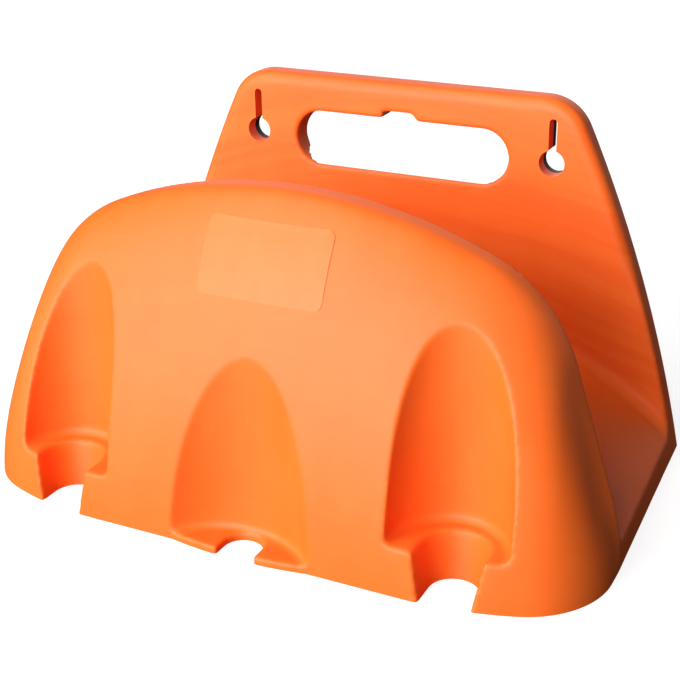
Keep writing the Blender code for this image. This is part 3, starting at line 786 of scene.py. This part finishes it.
def makeLabel(carrier):
    # A rounded sheet pressed back onto the hood's face, then given its thickness
    middle = (label["bottom"] + label["top"]) / 2
    height = label["top"] - label["bottom"]
    bpy.ops.object.select_all(action="DESELECT")
    bpy.ops.mesh.primitive_plane_add(
        size=1.0, location=(0, frontFace - label["ahead"], middle), rotation=(quarterTurn, 0, 0)
    )
    obj = named("label")
    obj.scale = (2 * label["halfWidth"], height, 1.0)
    bpy.ops.object.transform_apply(location=True, rotation=True, scale=True)
    bpy.ops.object.mode_set(mode="EDIT")
    bpy.ops.mesh.select_all(action="SELECT")
    bpy.ops.mesh.bevel(offset=label["corner"], segments=label["cornerSteps"], affect="VERTICES")
    cuts = [((1, 0, 0), -label["halfWidth"], label["halfWidth"])]
    cuts.append(((0, 0, 1), label["bottom"], label["top"]))
    for way, low, high in cuts:
        count = round((high - low) / label["spacing"])
        for i in range(1, count):
            place = low + (high - low) * i / count
            bpy.ops.mesh.select_all(action="SELECT")
            bpy.ops.mesh.bisect(
                plane_co=[place * part for part in way], plane_no=way, threshold=cutReach
            )
    bpy.ops.object.mode_set(mode="OBJECT")
    applyModifier(
        obj, "SHRINKWRAP", "press", target=carrier, wrap_method="PROJECT",
        use_project_y=True, use_project_z=False, use_positive_direction=True,
        use_negative_direction=False
    )
    applyModifier(
        obj, "SMOOTH", "ease", factor=moulding["smoothing"], iterations=label["easing"],
        use_x=False, use_z=False
    )
    if sum(face.normal.y for face in obj.data.polygons) > 0:
        activate(obj)
        bpy.ops.object.mode_set(mode="EDIT")
        bpy.ops.mesh.select_all(action="SELECT")
        bpy.ops.mesh.flip_normals()
        bpy.ops.object.mode_set(mode="OBJECT")
    applyModifier(
        obj, "SOLIDIFY", "thickness", thickness=2 * label["thickness"], offset=0.0,
        use_even_offset=True
    )
    bpy.ops.object.shade_smooth_by_angle(angle=label["crease"])
    report(obj, "pressed on")
    return obj


def newMaterial(name):
    material = bpy.data.materials.new(name)
    material.use_nodes = True
    nodes = material.node_tree.nodes
    return material, nodes, material.node_tree.links, nodes["Principled BSDF"]


def addMath(nodes, links, operation, first, second=None):
    node = nodes.new("ShaderNodeMath")
    node.operation = operation
    for place, value in enumerate((first, second)):
        if value is None:
            continue
        if isinstance(value, (int, float)):
            node.inputs[place].default_value = value
        else:
            links.new(value, node.inputs[place])
    return node.outputs[0]


def addRange(nodes, links, value, low, high, start=0.0, end=1.0):
    node = nodes.new("ShaderNodeMapRange")
    node.interpolation_type = "SMOOTHSTEP"
    for place, number in enumerate((low, high, start, end), 1):
        node.inputs[place].default_value = number
    links.new(value, node.inputs[0])
    return node.outputs[0]


def addNoise(nodes, links, place, scale, detail, turns=(1, 1, 1)):
    stretch = nodes.new("ShaderNodeMapping")
    stretch.inputs["Scale"].default_value = turns
    links.new(place, stretch.inputs["Vector"])
    node = nodes.new("ShaderNodeTexNoise")
    node.inputs["Detail"].default_value = detail
    links.new(stretch.outputs[0], node.inputs["Vector"])
    if isinstance(scale, (int, float)):
        node.inputs["Scale"].default_value = scale
    else:
        links.new(scale, node.inputs["Scale"])
    return node.outputs["Fac"]


def addBlend(nodes, links, factor, first, second):
    node = nodes.new("ShaderNodeMix")
    node.data_type = "RGBA"
    links.new(factor, node.inputs[0])
    for socket, value in ((node.inputs[6], first), (node.inputs[7], second)):
        if isinstance(value, tuple):
            socket.default_value = value
        else:
            links.new(value, socket)
    return node.outputs[2]


surfaceInputs = {
    "Grain Scale": 1500.0,
    "Grain Depth": 0.006,
    "Wave Scale": 32.0,
    "Wave Depth": 0.10,
    "Gloss": 0.42,
    "Gloss Spread": 0.12,
}
surfaceNoise = {
    "grainDetail": 3.0,
    "waveDetail": 2.0,
    "cloudDetail": 5.0,
    "cloudTurns": (1.7, 1.3, 0.8),
    "cloudRange": (0.32, 0.68),
    "depth": 0.001,                    # of the bumps, for a height of 1
}
indexOfRefraction = 1.49


def surfaceGroup():
    # Fine grain, slow waves and uneven gloss, shared by the plastic and the film
    group = bpy.data.node_groups.new("mouldedSurface", "ShaderNodeTree")
    sockets = group.interface
    sockets.new_socket("Position", in_out="INPUT", socket_type="NodeSocketVector")
    for name, value in surfaceInputs.items():
        socket = sockets.new_socket(name, in_out="INPUT", socket_type="NodeSocketFloat")
        socket.default_value = value
    for name in ("Tone", "Roughness", "Height"):
        sockets.new_socket(name, in_out="OUTPUT", socket_type="NodeSocketFloat")
    nodes, links = group.nodes, group.links
    entry = nodes.new("NodeGroupInput")
    result = nodes.new("NodeGroupOutput")
    place = entry.outputs["Position"]
    scale = entry.outputs["Grain Scale"]
    grain = addNoise(nodes, links, place, scale, surfaceNoise["grainDetail"])
    scale = entry.outputs["Wave Scale"]
    wave = addNoise(nodes, links, place, scale, surfaceNoise["waveDetail"])
    cloud = addNoise(
        nodes, links, place, scale, surfaceNoise["cloudDetail"], surfaceNoise["cloudTurns"]
    )
    tone = addRange(nodes, links, cloud, *surfaceNoise["cloudRange"])
    swing = addMath(nodes, links, "SUBTRACT", cloud, 0.5)
    swing = addMath(nodes, links, "MULTIPLY", swing, entry.outputs["Gloss Spread"])
    rough = addMath(nodes, links, "ADD", swing, entry.outputs["Gloss"])
    fine = addMath(nodes, links, "MULTIPLY", grain, entry.outputs["Grain Depth"])
    slow = addMath(nodes, links, "MULTIPLY", wave, entry.outputs["Wave Depth"])
    height = addMath(nodes, links, "ADD", fine, slow)
    links.new(tone, result.inputs["Tone"])
    links.new(rough, result.inputs["Roughness"])
    links.new(height, result.inputs["Height"])
    return group


def dressSurface(nodes, links, shader, group, values):
    place = nodes.new("ShaderNodeTexCoord").outputs["Object"]
    surface = nodes.new("ShaderNodeGroup")
    surface.node_tree = group
    links.new(place, surface.inputs["Position"])
    for name, value in values.items():
        surface.inputs[name].default_value = value
    bump = nodes.new("ShaderNodeBump")
    bump.inputs["Distance"].default_value = surfaceNoise["depth"]
    links.new(surface.outputs["Height"], bump.inputs["Height"])
    links.new(bump.outputs["Normal"], shader.inputs["Normal"])
    links.new(surface.outputs["Roughness"], shader.inputs["Roughness"])
    return place, surface.outputs["Tone"]


plastic = {
    "colour": (0.94, 0.140, 0.012, 1.0),
    "paler": (0.95, 0.160, 0.020, 1.0),
    "streak": (0.90, 0.108, 0.008, 1.0),
    "streakShare": 0.55,
    "faceStreaks": 0.16,               # how much of the plate's streaks the hood shows
    "streakFade": 0.004,               # they fade over this depth in front of the plate
    "streakDrift": (9.0, 1.0, 0.022),  # scale, detail and lift of their slow waves
    "streakSag": 1.4,
    "streakScale": (5.0, 5.0, 130.0),
    "streakDetail": 3.0,
    "streakRange": (0.40, 0.66),
    "cloudShare": 0.5,
    # painted shade: near black laid on the deep keyhole walls
    "socket": (0.010, 0.002, 0.001, 1.0),
    "paintedShadeDepth": (0.0078, 0.0086),   # painted shade darkens the keyholes this far behind the face
    "paintedShadeSpare": 0.0002,
    "specular": 0.38,
    "surface": {"Gloss": 0.50, "Gloss Spread": 0.08},
}


def flowStreaks(nodes, links, place):
    # The melt ran across the plate from its middle, in lines that sag a little
    scale, detail, rise = plastic["streakDrift"]
    drift = addNoise(nodes, links, place, scale, detail)
    parts = nodes.new("ShaderNodeSeparateXYZ")
    links.new(place, parts.inputs[0])
    sag = addMath(nodes, links, "MULTIPLY", parts.outputs["X"], parts.outputs["X"])
    sag = addMath(nodes, links, "MULTIPLY", sag, plastic["streakSag"])
    lift = addMath(nodes, links, "MULTIPLY", drift, rise)
    z = addMath(nodes, links, "ADD", parts.outputs["Z"], sag)
    z = addMath(nodes, links, "ADD", z, lift)
    joined = nodes.new("ShaderNodeCombineXYZ")
    links.new(parts.outputs["X"], joined.inputs["X"])
    links.new(parts.outputs["Y"], joined.inputs["Y"])
    links.new(z, joined.inputs["Z"])
    lines = addNoise(
        nodes, links, joined.outputs[0], 1.0, plastic["streakDetail"], plastic["streakScale"]
    )
    lines = addRange(nodes, links, lines, *plastic["streakRange"])
    onPlate = addRange(
        nodes, links, parts.outputs["Y"], plateFace - plastic["streakFade"], plateFace,
        plastic["faceStreaks"], 1.0
    )
    return addMath(nodes, links, "MULTIPLY", lines, onPlate), parts


def paintedKeyholeShadeMask(nodes, links, parts):
    # A mask that is 1 deep inside either keyhole, where painted shade darkens its walls
    spare = plastic["paintedShadeSpare"]
    side = addMath(nodes, links, "ABSOLUTE", parts.outputs["X"])
    side = addMath(nodes, links, "SUBTRACT", side, keyholeX)
    rise = addMath(nodes, links, "SUBTRACT", parts.outputs["Z"], keyholeZ)
    square = addMath(nodes, links, "MULTIPLY", side, side)
    lift = addMath(nodes, links, "MULTIPLY", rise, rise)
    away = addMath(nodes, links, "SQRT", addMath(nodes, links, "ADD", square, lift))
    inHead = addMath(nodes, links, "LESS_THAN", away, openings["keyholeHead"] / 2 + spare)
    width = openings["keyholeSlot"] / 2 + spare
    near = addMath(nodes, links, "LESS_THAN", addMath(nodes, links, "ABSOLUTE", side), width)
    above = addMath(nodes, links, "GREATER_THAN", rise, 0.0)
    below = addMath(nodes, links, "LESS_THAN", rise, openings["keyholeRise"] + spare)
    inSlot = addMath(nodes, links, "MULTIPLY", above, below)
    inSlot = addMath(nodes, links, "MULTIPLY", near, inSlot)
    inside = addMath(nodes, links, "MAXIMUM", inHead, inSlot)
    start, end = plastic["paintedShadeDepth"]
    deep = addRange(nodes, links, parts.outputs["Y"], plateFace + start, plateFace + end)
    return addMath(nodes, links, "MULTIPLY", inside, deep)


def orangePlastic(group):
    material, nodes, links, shader = newMaterial("orangePlastic")
    shader.inputs["IOR"].default_value = indexOfRefraction
    shader.inputs["Specular IOR Level"].default_value = plastic["specular"]
    place, clouds = dressSurface(nodes, links, shader, group, plastic["surface"])
    streaks, parts = flowStreaks(nodes, links, place)
    share = addMath(nodes, links, "MULTIPLY", streaks, plastic["streakShare"])
    tone = addMath(nodes, links, "MULTIPLY", clouds, plastic["cloudShare"])
    colour = addBlend(nodes, links, tone, plastic["colour"], plastic["paler"])
    colour = addBlend(nodes, links, share, colour, plastic["streak"])
    paintedKeyholeShade = paintedKeyholeShadeMask(nodes, links, parts)
    # Painted shade: the keyhole walls turn near black deep behind the face
    colour = addBlend(nodes, links, paintedKeyholeShade, colour, plastic["socket"])
    links.new(colour, shader.inputs["Base Color"])
    return material


film = {
    "colour": (0.95, 0.156, 0.017, 1.0),
    "paler": (0.96, 0.168, 0.023, 1.0),
    "specular": 0.40,
    "surface": {
        "Gloss": 0.47, "Gloss Spread": 0.05, "Grain Depth": 0.003, "Wave Scale": 60.0,
        "Wave Depth": 0.03,
    },
}


def labelFilm(group):
    material, nodes, links, shader = newMaterial("labelFilm")
    shader.inputs["IOR"].default_value = indexOfRefraction
    shader.inputs["Specular IOR Level"].default_value = film["specular"]
    tone = dressSurface(nodes, links, shader, group, film["surface"])[1]
    colour = addBlend(nodes, links, tone, film["colour"], film["paler"])
    links.new(colour, shader.inputs["Base Color"])
    return material


stage = {
    "size": 12.0,
    "roughness": 0.9,
    "seen": (0.34, 0.34, 0.34, 1.0),
    "bounce": (0.05, 0.05, 0.05, 1.0),
    "glow": 0.83,
}


def makeStage():
    bpy.ops.object.select_all(action="DESELECT")
    bpy.ops.mesh.primitive_plane_add(size=stage["size"], location=(0, 0, 0))
    floor = named("floor")
    material, nodes, links, shader = newMaterial("paleFloor")
    shader.inputs["Roughness"].default_value = stage["roughness"]
    shader.inputs["Specular IOR Level"].default_value = 0.0
    shader.inputs["Emission Color"].default_value = (1, 1, 1, 1)
    seen = nodes.new("ShaderNodeLightPath").outputs["Is Camera Ray"]
    colour = addBlend(nodes, links, seen, stage["bounce"], stage["seen"])
    links.new(colour, shader.inputs["Base Color"])
    glow = addMath(nodes, links, "MULTIPLY", seen, stage["glow"])
    links.new(glow, shader.inputs["Emission Strength"])
    floor.data.materials.append(material)


lights = {
    "aim": (0.0, 0.0, 0.08),
    "world": 0.03,
    "lamps": {                         # azimuth, elevation, distance, size, power
        "key": (-15, 14, 2.3, (2.5, 1.7), 110.0),
        "upper": (-40, 55, 2.3, (1.3, 1.3), 25.0),
        "left": (-66, 10, 2.3, (1.2, 1.2), 14.0),
        "right": (95, 35, 2.3, (1.2, 1.2), 2.0),
        "backdrop": (194, 18, 2.6, (2.6, 2.6), 28.0),
        "behindRight": (140, 8, 2.4, (1.2, 1.2), 3.0),
    },
}


def makeLights():
    world = bpy.data.worlds.new("studio")
    bpy.context.scene.world = world
    world.use_nodes = True
    nodes, links = world.node_tree.nodes, world.node_tree.links
    background = nodes["Background"]
    background.inputs["Color"].default_value = (1, 1, 1, 1)
    path = nodes.new("ShaderNodeLightPath")
    seen = path.outputs["Is Camera Ray"]
    strength = addRange(nodes, links, seen, 0.0, 1.0, lights["world"], 1.0)
    links.new(strength, background.inputs["Strength"])
    aim = Vector(lights["aim"])
    for name, (azimuth, elevation, distance, size, power) in lights["lamps"].items():
        azimuth, elevation = math.radians(azimuth), math.radians(elevation)
        way = Vector((
            math.sin(azimuth) * math.cos(elevation),
            -math.cos(azimuth) * math.cos(elevation),
            math.sin(elevation),
        ))
        bpy.ops.object.light_add(type="AREA", location=aim + way * distance)
        light = bpy.context.object
        light.name = name
        light.data.shape = "RECTANGLE"
        light.data.size, light.data.size_y = size
        light.data.energy = power
        light.visible_camera = False
        light.rotation_euler = (-way).to_track_quat("-Z", "Y").to_euler()


camera = {
    "place": (0.30813, -0.60607, 0.36941),
    "azimuth": math.radians(26.381),
    "elevation": math.radians(23.313),
    "roll": math.radians(-0.686),
    "lens": 73.35,
    "sensor": 36.0,
    "nearest": 0.01,
}


def makeCamera():
    azimuth, elevation, roll = camera["azimuth"], camera["elevation"], camera["roll"]
    back = Vector((
        math.sin(azimuth) * math.cos(elevation),
        -math.cos(azimuth) * math.cos(elevation),
        math.sin(elevation),
    ))
    right = Vector((math.cos(azimuth), math.sin(azimuth), 0.0))
    up = back.cross(right)
    across = right * math.cos(roll) + up * math.sin(roll)
    upward = up * math.cos(roll) - right * math.sin(roll)
    data = bpy.data.cameras.new("camera")
    data.lens = camera["lens"]
    data.sensor_width = camera["sensor"]
    data.clip_start = camera["nearest"]
    obj = bpy.data.objects.new("camera", data)
    bpy.context.scene.collection.objects.link(obj)
    turn = Matrix((across, upward, back)).transposed().to_4x4()
    obj.matrix_world = Matrix.Translation(camera["place"]) @ turn
    bpy.context.scene.camera = obj


makeCamera()
makeLights()
makeStage()
print("camera, lights and floor made")

hanger = makeHanger()
surface = surfaceGroup()
hanger.data.materials.clear()
hanger.data.materials.append(orangePlastic(surface))
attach(hanger, "root")
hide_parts("hanger_body")

labelPiece = makeLabel(hanger)
labelPiece.data.materials.append(labelFilm(surface))
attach(labelPiece, "root")
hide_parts("front_label")
print("materials made")

bpy.context.scene.view_settings.view_transform = "Standard"
